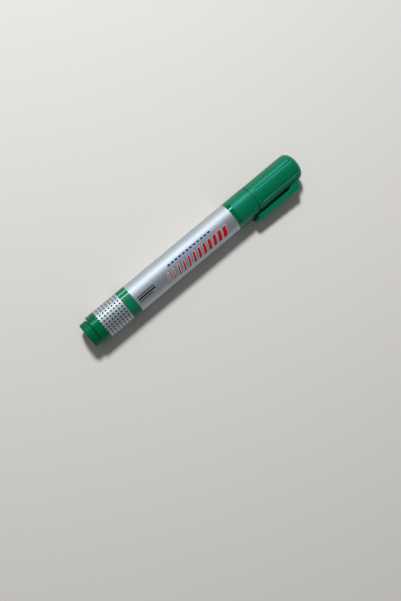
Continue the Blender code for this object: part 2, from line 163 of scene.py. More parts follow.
class MarkerBodySizes(bpy.types.PropertyGroup):
    """Sizes of the barrel, its film and the rear plug."""

    radius: length_property("Radius", "Outer radius of the barrel, film and skirt", reach("label_film"))
    wall: length_property("Wall", "Wall of the barrel round the filler", 1.8)
    film: length_property("Film", "Thickness of the printed film", 0.12)
    rim_round: length_property("Rim rounding", "Rounding of the barrel's rear rim", 0.5)
    shoulder_round: length_property("Shoulder rounding", "Rounding where the shoulder meets the cap", 0.06)
    neck_step: length_property("Neck step", "How far the neck is set in from the shoulder", 1.4)
    neck_wall: length_property("Neck wall", "Wall of the neck", 1.2)
    plug_step: length_property("Plug step", "How far the plug's button is set in from the barrel", 1.0)
    plug_round: length_property("Plug rounding", "Rounding of the plug's end", 0.7)
    rib_count: IntProperty(name="Ribs", description="Ribs that hold the filler in the bore", default=6, min=3)


class MarkerCapSizes(bpy.types.PropertyGroup):
    """Sizes of the cap and its clip."""

    skirt: length_property("Skirt", "Length of the skirt below the groove", 11.45)
    step: length_property("Step", "How far the cap above the groove is set in from the skirt", 0.1)
    groove_width: length_property("Groove width", "Width of the groove above the skirt", 1.0)
    groove_depth: length_property("Groove depth", "Depth of the groove below the skirt", 0.65)
    end_round: length_property("End rounding", "Rounding of the cap's end", 4.0)
    panel_depth: length_property("Panel depth", "Depth of the two long panels", 0.35)
    panel_wall: length_property("Panel wall", "Width of the sloping wall round a panel", 0.15)
    clip_gap: length_property("Clip gap", "Gap between the skirt and the clip", 0.35)
    clip_thickness: length_property("Clip thickness", "Thickness of the clip's arm", 2.8)
    clip_toe_width: length_property("Clip toe width", "Width of the clip at its free end", 6.0)
    clip_root_width: length_property("Clip root width", "Width of the clip where it joins the cap", 8.9)
    clip_round: length_property("Clip rounding", "Rounding of the clip's long edges", 0.45)


class MarkerPrintSizes(bpy.types.PropertyGroup):
    """Sizes of what is printed on the film."""

    dot_pitch: length_property("Dot pitch", "Distance between rings of dots along the barrel", 1.92)
    dot_diameter: length_property("Dot diameter", "Diameter of a printed dot", 1.04)
    dots_round: IntProperty(name="Dots round", description="Dots in one ring", default=27, min=3)
    band_start: length_property("Band start", "Where the green band starts, from the rear end", 24.2)
    band_end: length_property("Band end", "Where the green band ends, from the rear end", 29.8)
    band_line: length_property("Band line", "Width of the two pale lines along the band", 0.44)
    bar_pitch: length_property("Bar pitch", "Distance between the slanted bars", 3.4)
    dash_pitch: length_property("Dash pitch", "Distance between the dashes", 2.4)


class MarkerColours(bpy.types.PropertyGroup):
    """Colours of the plastics, the film, its inks and the fibres."""

    cap_green: colour_property("Cap plastic", "Cap and clip", "#006A45")
    barrel_green: colour_property("Barrel plastic", "Barrel and rear plug", "#005E34")
    nose: colour_property("Nose plastic", "Nose piece that holds the nib", "#005C3C")
    silver: colour_property("Silver film", "Metallised film", "#BEC8D0")
    green_ink: colour_property("Green ink", "Band", "#07704C")
    # Colour of the two thin pale lines along the band, mixed over its green at fixed turns round the film
    pale_line_colour: colour_property("Pale lines", "Two lines along the band", "#8FEBCB")
    dot_ink: colour_property("Dot ink", "Dots", "#0E2A25")
    dark_ink: colour_property("Dark ink", "Short rules", "#1B1F22")
    red_ink: colour_property("Red ink", "Slanted bars", "#B3122B")
    blue_ink: colour_property("Blue ink", "Row of dashes", "#1B2F86")
    white_ink: colour_property("White ink", "Edge of the slanted bars", "#EDEFF0")
    felt: colour_property("Felt", "Inked nib", "#12503B")
    filler: colour_property("Filler fibre", "Inked reservoir", "#1E6349")
    sleeve: colour_property("Sleeve film", "Clear film round the reservoir", "#DDE3E0")
    seal: colour_property("Seal plastic", "Cup inside the cap", "#E9ECE8")
    floor: colour_property("Floor", "Plain pale floor", "#D8D6D2")


class MarkerStudio(bpy.types.PropertyGroup):
    """Light levels of the studio."""

    key: FloatProperty(
        name="Key light",
        description="Power of the softbox that casts the shadow",
        default=7.8,
        unit="POWER",
    )
    strip: FloatProperty(
        name="Strip light",
        description="Power of the softbox that draws the highlight",
        default=3.0,
        unit="POWER",
    )
    room: FloatProperty(
        name="Room light",
        description="Strength of the even light from all round",
        default=0.18,
    )


def deselect():
    """Leaves nothing selected, because an operator acts on all that is."""
    if bpy.context.mode != "OBJECT":
        bpy.ops.object.mode_set(mode="OBJECT")
    bpy.ops.object.select_all(action="DESELECT")


def activate(piece):
    """Makes one piece the only one that operators act on."""
    deselect()
    piece.select_set(True)
    bpy.context.view_layer.objects.active = piece


def place(along, out, up):
    """The world point so many millimetres along the marker, out from its axis towards the clip, and up."""
    return AXIS + Vector((REAR_X + along * MM, -out * MM, up * MM))


def rounded(stations):
    """The points of a section, each corner that has a rounding drawn as an arc."""
    points = []
    for number, (along, height, rounding) in enumerate(stations):
        corner = Vector((along, height))
        if not rounding:
            points.append(corner)
            continue
        before = (Vector(stations[number - 1][:2]) - corner).normalized()
        after = (Vector(stations[(number + 1) % len(stations)][:2]) - corner).normalized()
        half = before.angle(after) / 2
        centre = corner + (before + after).normalized() * rounding / math.sin(half)
        start = corner + before * rounding / math.tan(half) - centre
        end = corner + after * rounding / math.tan(half) - centre
        points += [centre + start.slerp(end, step / ARC_STEPS) * rounding for step in range(ARC_STEPS + 1)]
    return points


def begin(name, point):
    """A new mesh of one vertex at a world point, in edit mode."""
    deselect()
    bpy.ops.mesh.primitive_plane_add(size=MM, location=point)
    piece = bpy.context.object
    piece.name = piece.data.name = name
    bpy.ops.object.mode_set(mode="EDIT")
    bpy.ops.mesh.select_mode(type="VERT")
    bpy.ops.mesh.merge(type="CENTER")
    return piece


def draw(points):
    """Draws a line point by point, from one selected vertex at the first of them."""
    for start, end in zip(points, points[1:]):
        bpy.ops.mesh.extrude_vertices_move(TRANSFORM_OT_translate={"value": end - start})


def turn(name, stations, is_tube=False):
    """A turned piece from its half section, a list of (along, radius, rounding) in millimetres.

    A tube's section closes on itself.
    """
    section = rounded(stations)
    if is_tube:
        section.append(section[0])
    points = [place(along, 0.0, radius) for along, radius in section]
    piece = begin(name, points[0])
    draw(points)
    bpy.ops.mesh.select_all(action="SELECT")
    bpy.ops.mesh.spin(steps=TURN_STEPS, angle=math.tau, center=AXIS, axis=(1, 0, 0))
    bpy.ops.mesh.select_all(action="SELECT")
    bpy.ops.mesh.remove_doubles(threshold=WELD)
    bpy.ops.mesh.normals_make_consistent(inside=False)
    return piece


def bar(name, points, sweep):
    """A solid bar: an outline drawn point by point, filled and drawn out by a sweep."""
    piece = begin(name, points[0])
    draw([*points, points[0]])
    bpy.ops.mesh.select_all(action="SELECT")
    bpy.ops.mesh.remove_doubles(threshold=WELD)
    bpy.ops.mesh.edge_face_add()
    bpy.ops.mesh.extrude_region_move(TRANSFORM_OT_translate={"value": sweep})
    bpy.ops.mesh.select_all(action="SELECT")
    bpy.ops.mesh.normals_make_consistent(inside=False)
    activate(piece)
    bpy.ops.object.transform_apply(location=True, rotation=True, scale=True)
    return piece


def cut(piece, operation, other):
    """Cuts one piece with another, or joins them, and removes the other."""
    activate(piece)
    apply_modifier(piece, "BOOLEAN", operation=operation, solver="EXACT", object=other)
    bpy.data.objects.remove(other)


def bead(start, width, radius, top):
    """Stations of a snap bead with sloping sides."""
    slope = width / 4
    soft = slope / 2
    return [
        (start, radius, soft),
        (start + slope, top, soft),
        (start + width - slope, top, soft),
        (start + width, radius, soft),
    ]


def film_section(start, end, back, face):
    """Stations of a thin film that is wound into a tube."""
    return [
        (start, back, 0.0),
        (start, face, FILM_EDGE),
        (end, face, FILM_EDGE),
        (end, back, 0.0),
    ]


def pick(piece, kind, test):
    """Selects the faces or edges that pass a test, in edit mode."""
    bpy.ops.mesh.select_mode(type=kind)
    bpy.ops.mesh.select_all(action="DESELECT")
    mesh = bmesh.from_edit_mesh(piece.data)
    mesh.normal_update()
    for element in mesh.faces if kind == "FACE" else mesh.edges:
        element.select_set(test(element))
    bmesh.update_edit_mesh(piece.data)


def centre_of(piece, element):
    """(along, radius, turn) of an element's middle, in millimetres, and radians from the top to the clip."""
    corners = [piece.matrix_world @ corner.co for corner in element.verts]
    middle = sum(corners, Vector()) / len(corners) - AXIS
    return (
        (middle.x - REAR_X) / MM,
        math.hypot(middle.y, middle.z) / MM,
        math.atan2(-middle.y, middle.z),
    )


def apply_modifier(piece, kind, **settings):
    """Adds a modifier to the active piece, sets it and applies it."""
    bpy.ops.object.modifier_add(type=kind)
    modifier = piece.modifiers[-1]
    for name, value in settings.items():
        setattr(modifier, name, value)
    bpy.ops.object.modifier_apply(modifier=modifier.name)


def complete(piece, body, node, material):
    """Puts a modelled piece at the origin with smooth faces and its material, and in its CAD node's place."""
    activate(piece)
    bpy.ops.object.transform_apply(location=True, rotation=True, scale=True)
    bpy.ops.object.shade_smooth_by_angle(angle=SMOOTH_ANGLE)
    apply_modifier(piece, "WEIGHTED_NORMAL", keep_sharp=True)
    piece.data.materials.clear()
    piece.data.materials.append(material)
    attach(piece, body)
    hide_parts(node)
    deselect()


def add_node(tree, kind, inputs=(), out=0, **settings):
    """Adds a shader node, sets it, fills or links its inputs by order or by name, and returns one output."""
    node = tree.nodes.new("ShaderNode" + kind)
    for name, value in settings.items():
        setattr(node, name, value)
    pairs = inputs.items() if isinstance(inputs, dict) else enumerate(inputs)
    for socket, value in pairs:
        if isinstance(value, bpy.types.NodeSocket):
            tree.links.new(value, node.inputs[socket])
        else:
            node.inputs[socket].default_value = value
    return node.outputs[out] if node.outputs else None


def new_material(name):
    """A new material and its empty node tree."""
    material = bpy.data.materials.new(name)
    material.use_nodes = True
    material.node_tree.nodes.clear()
    return material, material.node_tree


def shades(colour, darker, lighter):
    """A darker and a lighter RGBA of a linear colour."""
    return [(*[min(1.0, share * factor) for share in colour], 1.0) for factor in (darker, lighter)]


def shaded_point(tree, shift=(0.0, 0.0, 0.0)):
    """The point that is shaded, in millimetres, after a shift."""
    where = add_node(tree, "TexCoord", out=3)
    return add_node(tree, "Mapping", {"Vector": where, "Location": shift, "Scale": (1 / MM,) * 3})


def moulded_polypropylene(name, colour, smoothest, roughest, shine):
    """Injection-moulded polypropylene.

    It has a soft gloss, slight clouding of the pigment, the fine grain of the mould and hair-thin scuffs
    from handling.
    """
    material, tree = new_material(name)
    millimetres = shaded_point(tree)
    # Clouds of pigment are about 9 mm across
    clouds_per_mm = 0.11
    clouds = add_node(tree, "TexNoise", {"Vector": millimetres, "Scale": clouds_per_mm, "Detail": 3.0})
    # The real grain is about 0.05 mm. It is drawn at 0.25 mm so that it shows
    grains_per_mm = 4.0
    grain = add_node(tree, "TexNoise", {"Vector": millimetres, "Scale": grains_per_mm, "Detail": 2.0})
    # Scuffs run along the marker, about 6 mm long and 0.15 mm wide
    scuffs_per_mm = (0.16, 6.5, 6.5)
    scuff_roughness = 0.14
    stretched = add_node(tree, "Mapping", {"Vector": millimetres, "Scale": scuffs_per_mm})
    scratches = add_node(tree, "TexNoise", {"Vector": stretched, "Scale": 1.0, "Detail": 2.0})
    scuffs = add_node(tree, "MapRange", {"Value": scratches, "From Min": 0.62, "From Max": 0.74})
    dark, light = shades(colour, darker=0.9, lighter=1.12)
    tint = add_node(tree, "Mix", {0: clouds, 6: dark, 7: light}, data_type="RGBA", out=2)
    gloss = add_node(
        tree,
        "MapRange",
        {"Value": clouds, "From Min": 0.3, "From Max": 0.7, "To Min": smoothest, "To Max": roughest},
    )
    roughness = add_node(tree, "Math", (scuffs, scuff_roughness, gloss), operation="MULTIPLY_ADD")
    bump = add_node(tree, "Bump", {"Height": grain, "Strength": 0.06, "Distance": 0.05 * MM})
    shader = add_node(
        tree,
        "BsdfPrincipled",
        {
            "Base Color": tint,
            "Roughness": roughness,
            "IOR": 1.49,
            "Specular IOR Level": shine,
            "Specular Tint": (0.2, 1.0, 1.0, 1.0),
            "Normal": bump,
        },
    )
    add_node(tree, "OutputMaterial", {"Surface": shader})
    return material


class FilmPrint:
    """What is printed on the film: each ink's method gives how much of the ink covers a point."""

    # Half the width of an ink's soft edge, in millimetres
    ink_edge = 0.05

    def __init__(self, tree, sizes):
        self.tree = tree
        self.sizes = sizes
        self.radius = reach("label_film")
        self.millimetres = shaded_point(tree, (-REAR_X / MM, -AXIS.y / MM, -AXIS.z / MM))
        split = add_node(tree, "SeparateXYZ", (self.millimetres,)).node.outputs
        self.along = split["X"]
        sideways = add_node(tree, "Math", (split["Y"], -1.0), operation="MULTIPLY")
        self.angle = add_node(tree, "Math", (sideways, split["Z"]), operation="ARCTAN2")
        self.across = add_node(tree, "Math", (self.angle, self.radius), operation="MULTIPLY")

    def printed(self, distance, spread=0.0):
        """How much ink covers a point, from its distance in millimetres outside the printed shape."""
        return add_node(
            self.tree,
            "MapRange",
            {"Value": distance, "From Min": spread + self.ink_edge, "From Max": spread - self.ink_edge},
        )

    def outside(self, value, middle, half):
        """Distance of a value outside a strip about its middle."""
        offset = add_node(self.tree, "Math", (value, middle), operation="SUBTRACT")
        size = add_node(self.tree, "Math", (offset,), operation="ABSOLUTE")
        return add_node(self.tree, "Math", (size, half), operation="SUBTRACT")

    def box(self, along_middle, along_half, across_middle, across_half, along=None):
        """Distance outside a rectangle on the film."""
        lengthways = self.outside(along or self.along, along_middle, along_half)
        crossways = self.outside(self.across, across_middle, across_half)
        return add_node(self.tree, "Math", (lengthways, crossways), operation="MAXIMUM")

    def largest(self, *values):
        """The largest of several values."""
        found = values[0]
        for value in values[1:]:
            found = add_node(self.tree, "Math", (found, value), operation="MAXIMUM")
        return found

    def dots(self):
        """Dots in rings, the first of which is cut by the film's edge."""
        tree = self.tree
        pitch = self.sizes.dot_pitch / MM
        dot_radius = self.sizes.dot_diameter / MM / 2
        ring_turn = math.tau / self.sizes.dots_round
        first_ring = FILM_START + 0.04
        first_row = math.radians(-1.3)
        dots_end = self.sizes.band_start / MM - 0.4
        ring = add_node(tree, "Math", (self.along, first_ring - pitch / 2), operation="SUBTRACT")
        ring_at = add_node(tree, "Math", (ring, pitch), operation="FLOORED_MODULO")
        ring_off = add_node(tree, "Math", (ring_at, pitch / 2), operation="SUBTRACT")
        row = add_node(tree, "Math", (self.angle, first_row - ring_turn / 2), operation="SUBTRACT")
        row_at = add_node(tree, "Math", (row, ring_turn), operation="FLOORED_MODULO")
        half_row = ring_turn * self.radius / 2
        row_off = add_node(tree, "Math", (row_at, self.radius, -half_row), operation="MULTIPLY_ADD")
        from_dot = add_node(tree, "CombineXYZ", (ring_off, row_off, 0.0))
        distance = add_node(tree, "VectorMath", (from_dot,), out=1, operation="LENGTH")
        from_rim = add_node(tree, "Math", (distance, dot_radius), operation="SUBTRACT")
        past_dots = add_node(tree, "Math", (self.along, dots_end), operation="SUBTRACT")
        return self.printed(self.largest(from_rim, past_dots))

    def band(self):
        """The green band, and the two pale lines along it."""
        half = (self.sizes.band_end - self.sizes.band_start) / MM / 2
        middle = self.sizes.band_start / MM + half
        line_half = self.sizes.band_line / MM / 2
        lines = []
        for line_turn in (-43.0, -24.4):
            line_at = math.radians(line_turn) * self.radius
            lines.append(self.printed(self.box(middle, half, line_at, line_half)))
        return self.printed(self.outside(self.along, middle, half)), self.largest(*lines)

    def bars(self):
        """Slanted bars, each wider than the one before, and the same bars with room for a white edge."""
        tree = self.tree
        pitch = self.sizes.bar_pitch / MM
        bar_count = 12
        start = 50.0
        row_half = bar_count * pitch / 2
        end_room = 0.1
        slant = 0.3
        first_half = 0.3
        growth = 0.085
        across_middle = 4.6
        across_half = 2.9
        white_edge = 0.16
        slanted = add_node(tree, "Math", (self.across, slant, self.along), operation="MULTIPLY_ADD")
        counted = add_node(tree, "Math", (slanted, start), operation="SUBTRACT")
        number = add_node(tree, "Math", (counted, pitch), operation="DIVIDE")
        whole = add_node(tree, "Math", (number,), operation="FLOOR")
        in_cell = add_node(tree, "Math", (number,), operation="FRACT")
        offset = add_node(tree, "Math", (in_cell, pitch, -pitch / 2), operation="MULTIPLY_ADD")
        from_middle = add_node(tree, "Math", (offset,), operation="ABSOLUTE")
        bar_half = add_node(tree, "Math", (whole, growth, first_half), operation="MULTIPLY_ADD")
        from_bar = add_node(tree, "Math", (from_middle, bar_half), operation="SUBTRACT")
        row = self.box(start + row_half, row_half - end_room, across_middle, across_half, slanted)
        from_bars = self.largest(from_bar, row)
        return self.printed(from_bars), self.printed(from_bars, white_edge)

    def dashes(self):
        """A row of dashes."""
        pitch = self.sizes.dash_pitch / MM
        dash_count = 12
        start = 53.0
        row_half = dash_count * pitch / 2
        dash_half = 0.36 * pitch
        across_middle = -0.9
        across_half = 0.5
        counted = add_node(self.tree, "Math", (self.along, start), operation="SUBTRACT")
        dash_at = add_node(self.tree, "Math", (counted, pitch), operation="FLOORED_MODULO")
        dash = self.outside(dash_at, pitch / 2, dash_half)
        row = self.box(start + row_half, row_half, across_middle, across_half)
        return self.printed(self.largest(dash, row))

    def rules(self):
        """Three short rules, each (middle along, half length, middle across, half width) in millimetres."""
        rules = ((36.6, 5.4, 1.6, 0.28), (36.6, 5.4, 3.0, 0.5), (35.4, 4.2, 4.4, 0.28))
        return self.largest(*[self.printed(self.box(*rule)) for rule in rules])


def printed_film(colours, sizes):
    """Metallised polyester film with screen-printed inks.

    It is a brushed-looking silver that spreads its highlight. The inks on it are smoother but not metallic,
    and their edges are slightly soft.
    """
    material, tree = new_material("Metallised polyester film with printed inks")
    film = FilmPrint(tree, sizes)
    # The grain is about 0.1 mm. It is drawn at 0.3 mm so that it shows, stretched along the marker
    grains_per_mm = (0.5, 3.3, 3.3)
    stretched = add_node(tree, "Mapping", {"Vector": film.millimetres, "Scale": grains_per_mm})
    grain = add_node(tree, "TexNoise", {"Vector": stretched, "Scale": 1.0, "Detail": 3.0})
    dull, bright = shades(colours.silver, darker=0.92, lighter=1.06)
    colour = add_node(tree, "Mix", {0: grain, 6: dull, 7: bright}, data_type="RGBA", out=2)
    red, white = film.bars()
    band, lines = film.band()
    # Each layer lies over the ones before it
    layers = (
        (white, colours.white_ink),
        (red, colours.red_ink),
        (film.dashes(), colours.blue_ink),
        (film.rules(), colours.dark_ink),
        (band, colours.green_ink),
        (lines, colours.pale_line_colour),
        (film.dots(), colours.dot_ink),
    )
    for cover, ink in layers:
        colour = add_node(tree, "Mix", {0: cover, 6: colour, 7: (*ink, 1.0)}, data_type="RGBA", out=2)
    inked = film.largest(*[cover for cover, ink in layers])
    metal = add_node(tree, "MapRange", {"Value": inked, "To Min": 0.92, "To Max": 0.0})
    silver_rough = add_node(tree, "MapRange", {"Value": grain, "To Min": 0.54, "To Max": 0.64})
    ink_smoother = -0.15
    rough = add_node(tree, "Math", (inked, ink_smoother, silver_rough), operation="MULTIPLY_ADD")
    grain_relief = 0.3
    relief = add_node(tree, "Math", (grain, grain_relief, inked), operation="MULTIPLY_ADD")
    bump = add_node(tree, "Bump", {"Height": relief, "Strength": 0.05, "Distance": 0.02 * MM})
    shader = add_node(
        tree,
        "BsdfPrincipled",
        {
            "Base Color": colour,
            "Metallic": metal,
            "Roughness": rough,
            "Specular IOR Level": 0.2,
            "Normal": bump,
        },
    )
    add_node(tree, "OutputMaterial", {"Surface": shader})
    return material


def inked_fibre(name, colour, strand):
    """Bonded polyester fibre soaked with ink.

    It is matt, with strands along the marker, and darker where the ink is deeper. A strand's width is in
    millimetres, and it is drawn about 3 mm long.
    """
    material, tree = new_material(name)
    millimetres = shaded_point(tree)
    strands_per_mm = (0.3, 1 / strand, 1 / strand)
    stretched = add_node(tree, "Mapping", {"Vector": millimetres, "Scale": strands_per_mm})
    strands = add_node(tree, "TexNoise", {"Vector": stretched, "Scale": 1.0, "Detail": 4.0})
    # The ink soaks in patches of about 4 mm
    patches_per_mm = 0.25
    strand_share = 0.7
    soak = add_node(tree, "TexNoise", {"Vector": millimetres, "Scale": patches_per_mm, "Detail": 2.0})
    mixed = add_node(tree, "Math", (strands, strand_share, soak), operation="MULTIPLY_ADD")
    share = add_node(tree, "MapRange", {"Value": mixed, "From Min": 0.55, "From Max": 1.15})
    dark, light = shades(colour, darker=0.45, lighter=1.5)
    tint = add_node(tree, "Mix", {0: share, 6: dark, 7: light}, data_type="RGBA", out=2)
    bump = add_node(tree, "Bump", {"Height": strands, "Strength": 0.35, "Distance": 0.1 * MM})
    shader = add_node(tree, "BsdfPrincipled", {"Base Color": tint, "Roughness": 0.85, "Normal": bump})
    add_node(tree, "OutputMaterial", {"Surface": shader})
    return material


def natural_polyethylene(name, colour, see_through):
    """Unpigmented polyethylene: milky, waxy and a little see-through."""
    material, tree = new_material(name)
    millimetres = shaded_point(tree)
    # The milkiness varies over about 3 mm
    patches_per_mm = 0.3
    milk = add_node(tree, "TexNoise", {"Vector": millimetres, "Scale": patches_per_mm, "Detail": 3.0})
    dark, light = shades(colour, darker=0.93, lighter=1.03)
    tint = add_node(tree, "Mix", {0: milk, 6: dark, 7: light}, data_type="RGBA", out=2)
    rough = add_node(tree, "MapRange", {"Value": milk, "To Min": 0.3, "To Max": 0.5})
    shader = add_node(
        tree,
        "BsdfPrincipled",
        {"Base Color": tint, "Roughness": rough, "IOR": 1.51, "Transmission Weight": see_through},
    )
    add_node(tree, "OutputMaterial", {"Surface": shader})
    return material


def pale_floor(colour):
    """Matt studio card: plain, with a faint tooth."""
    material, tree = new_material("Matt studio card")
    millimetres = shaded_point(tree)
    # The real tooth is about 0.2 mm. It is drawn at 1.2 mm so that it shows
    teeth_per_mm = 0.8
    tooth = add_node(tree, "TexNoise", {"Vector": millimetres, "Scale": teeth_per_mm, "Detail": 3.0})
    dark, light = shades(colour, darker=0.985, lighter=1.015)
    tint = add_node(tree, "Mix", {0: tooth, 6: dark, 7: light}, data_type="RGBA", out=2)
    bump = add_node(tree, "Bump", {"Height": tooth, "Strength": 0.03, "Distance": 0.2 * MM})
    shader = add_node(tree, "BsdfPrincipled", {"Base Color": tint, "Roughness": 0.9, "Normal": bump})
    add_node(tree, "OutputMaterial", {"Surface": shader})
    return material


class MARKER_OT_add_barrel(bpy.types.Operator):
    """Model the barrel: rear rim, seat for the film, shoulder, neck with its snap bead, and ribbed bore"""

    bl_idname = "marker.add_barrel"
    bl_label = "Barrel"

    def execute(self, context):
        sizes = context.scene.marker_body
        radius = sizes.radius / MM
        bore = radius - sizes.wall / MM
        seat = radius - sizes.film / MM - FILM_GAP
        neck = radius - sizes.neck_step / MM
        neck_bore = neck - sizes.neck_wall / MM
        film_start = FILM_START - FILM_GAP
        film_end = FILM_END + FILM_GAP
        bore_step = SHOULDER - 1.6
        bead_start = SHOULDER + 4.0
        bead_width = 1.2
        lead_in = 0.3
        chamfer = 0.4
        seat_round = 0.06
        neck_round = 0.15
        stations = [
            (BARREL_START, bore + lead_in, 0.0),
            (BARREL_START, radius, sizes.rim_round / MM),
            (film_start, radius, seat_round),
            (film_start, seat, 0.0),
            (film_end, seat, 0.0),
            (film_end, radius, seat_round),
            (SHOULDER, radius, sizes.shoulder_round / MM),
            (SHOULDER, neck, neck_round),
            *bead(bead_start, bead_width, neck, neck + BEAD_HEIGHT),
            (NECK_END - chamfer, neck, neck_round),
            (NECK_END, neck - chamfer, FINE_ROUND),
            (NECK_END, neck_bore, FINE_ROUND),
            (bore_step, neck_bore, 0.0),
            (bore_step, bore, 0.0),
            (FILLER_START, bore, 0.0),
            (BARREL_START + lead_in, bore, FINE_ROUND),
        ]
        piece = turn("barrel_moulding", stations, is_tube=True)
        rib_turn = math.tau / sizes.rib_count
        rib_half = 0.4
        rib_height = 0.45
        nearly = 0.05

        def is_rib(face):
            along, from_axis, angle = centre_of(piece, face)
            from_rib = abs((angle + rib_turn / 2) % rib_turn - rib_turn / 2)
            on_bore = FILLER_START < along < bore_step and abs(from_axis - bore) < nearly
            return on_bore and from_rib * bore < rib_half

        pick(piece, "FACE", is_rib)
        bpy.ops.mesh.extrude_region_shrink_fatten(TRANSFORM_OT_shrink_fatten={"value": rib_height * MM})
        colour = context.scene.marker_colours.barrel_green
        green = moulded_polypropylene(
            "Glossy polypropylene green", colour, smoothest=0.26, roughest=0.32, shine=0.36
        )
        complete(piece, "marker_body", "barrel", green)
        # The mould is polished from the shoulder on
        polished = moulded_polypropylene(
            "Polished polypropylene green", colour, smoothest=0.1, roughest=0.15, shine=0.74
        )
        piece.data.materials.append(polished)
        for face in piece.data.polygons:
            face.material_index = int(face.center.x > REAR_X + FILM_END * MM)
        return {"FINISHED"}


class MARKER_OT_add_film(bpy.types.Operator):
    """Model the printed film that lies in the barrel's recess, with its seam underneath"""

    bl_idname = "marker.add_film"
    bl_label = "Printed film"

    def execute(self, context):
        sizes = context.scene.marker_body
        face = sizes.radius / MM
        back = face - sizes.film / MM
        piece = turn("printed_film", film_section(FILM_START, FILM_END, back, face), is_tube=True)
        seam_turn = math.radians(-150.0)
        seam_half = math.radians(1.0)
        seam_depth = 0.04
        nearly = 0.02

        def is_seam(found):
            along, from_axis, angle = centre_of(piece, found)
            inside_ends = FILM_START + FILM_EDGE < along < FILM_END - FILM_EDGE
            return inside_ends and from_axis > face - nearly and abs(angle - seam_turn) < seam_half

        pick(piece, "FACE", is_seam)
        bpy.ops.mesh.extrude_region_shrink_fatten(TRANSFORM_OT_shrink_fatten={"value": -seam_depth * MM})
        film = printed_film(context.scene.marker_colours, context.scene.marker_print)
        complete(piece, "marker_body", "label_film", film)
        return {"FINISHED"}


class MARKER_OT_add_plug(bpy.types.Operator):
    """Model the rear plug: button with its gate mark, and a hollow spigot with two sealing beads"""

    bl_idname = "marker.add_plug"
    bl_label = "Rear plug"

    def execute(self, context):
        sizes = context.scene.marker_body
        head = (sizes.radius - sizes.plug_step) / MM
        spigot = (sizes.radius - sizes.wall) / MM - FIT_GAP
        hollow = spigot - 1.2
        head_end = BARREL_START - SEAT_GAP
        hollow_end = PLUG_START + 1.8
        gate = PLUG_START + GATE_DEPTH
        chamfer = 0.5
        seal_width = 0.8
        seal_top = spigot + 0.05
        head_round = 0.12
        hollow_round = 0.4
        stations = [
            (gate, 0.0, 0.0),
            (gate, GATE_FLOOR, FINE_ROUND),
            (PLUG_START, GATE_RIM, FINE_ROUND),
            (PLUG_START, head, sizes.plug_round / MM),
            (head_end, head, head_round),
            (head_end, spigot, FINE_ROUND),
            *bead(BARREL_START + 3.0, seal_width, spigot, seal_top),
            *bead(BARREL_START + 6.0, seal_width, spigot, seal_top),
            (PLUG_END - chamfer, spigot, FINE_ROUND),
            (PLUG_END, spigot - chamfer, FINE_ROUND),
            (PLUG_END, hollow, FINE_ROUND),
            (hollow_end, hollow, hollow_round),
            (hollow_end, 0.0, 0.0),
        ]
        piece = turn("rear_plug_moulding", stations)
        colour = context.scene.marker_colours.barrel_green
        green = moulded_polypropylene(
            "Dull polypropylene green", colour, smoothest=0.42, roughest=0.48, shine=0.25
        )
        complete(piece, "plug_body", "rear_plug", green)
        return {"FINISHED"}


class MARKER_OT_add_filler(bpy.types.Operator):
    """Model the ink reservoir's fibre rod, with the nib's socket, and the sleeve round it"""

    bl_idname = "marker.add_filler"
    bl_label = "Ink reservoir"

    def execute(self, context):
        colours = context.scene.marker_colours
        radius = reach("ink_filler")
        socket = reach("nib") + FIT_GAP
        socket_end = NIB_START - FIT_GAP
        end_round = 0.25
        stations = [
            (FILLER_START, 0.0, 0.0),
            (FILLER_START, radius, end_round),
            (FILLER_END, radius, end_round),
            (FILLER_END, socket, FINE_ROUND),
            (socket_end, socket, 0.0),
            (socket_end, 0.0, 0.0),
        ]
        rod = turn("ink_reservoir", stations)
        fibre = inked_fibre("Polyester fibre soaked with ink", colours.filler, strand=0.18)
        complete(rod, "marker_body", "ink_filler", fibre)
        section = film_section(FILLER_START, FILLER_END, radius + FILM_GAP, reach("filler_wrap"))
        sleeve = turn("reservoir_sleeve", section, is_tube=True)
        clear = natural_polyethylene("Clear polypropylene sleeve film", colours.sleeve, see_through=0.6)
        complete(sleeve, "marker_body", "filler_wrap", clear)
        return {"FINISHED"}


class MARKER_OT_add_nib(bpy.types.Operator):
    """Model the bullet-shaped felt nib"""

    bl_idname = "marker.add_nib"
    bl_label = "Nib"

    def execute(self, context):
        radius = reach("nib")
        bullet = 4.4
        chamfer = 0.5
        steps = 4 * ARC_STEPS
        stations = [
            (NIB_START, 0.0, 0.0),
            (NIB_START, radius - chamfer, FINE_ROUND),
            (NIB_START + chamfer, radius, FINE_ROUND),
        ]
        for step in range(steps):
            angle = math.pi / 2 * step / steps
            along = NIB_END - bullet + bullet * math.sin(angle)
            stations.append((along, radius * math.cos(angle), 0.0))
        stations.append((NIB_END, 0.0, 0.0))
        piece = turn("felt_nib", stations)
        felt = inked_fibre("Felt nib soaked with ink", context.scene.marker_colours.felt, strand=0.12)
        complete(piece, "marker_body", "nib", felt)
        return {"FINISHED"}


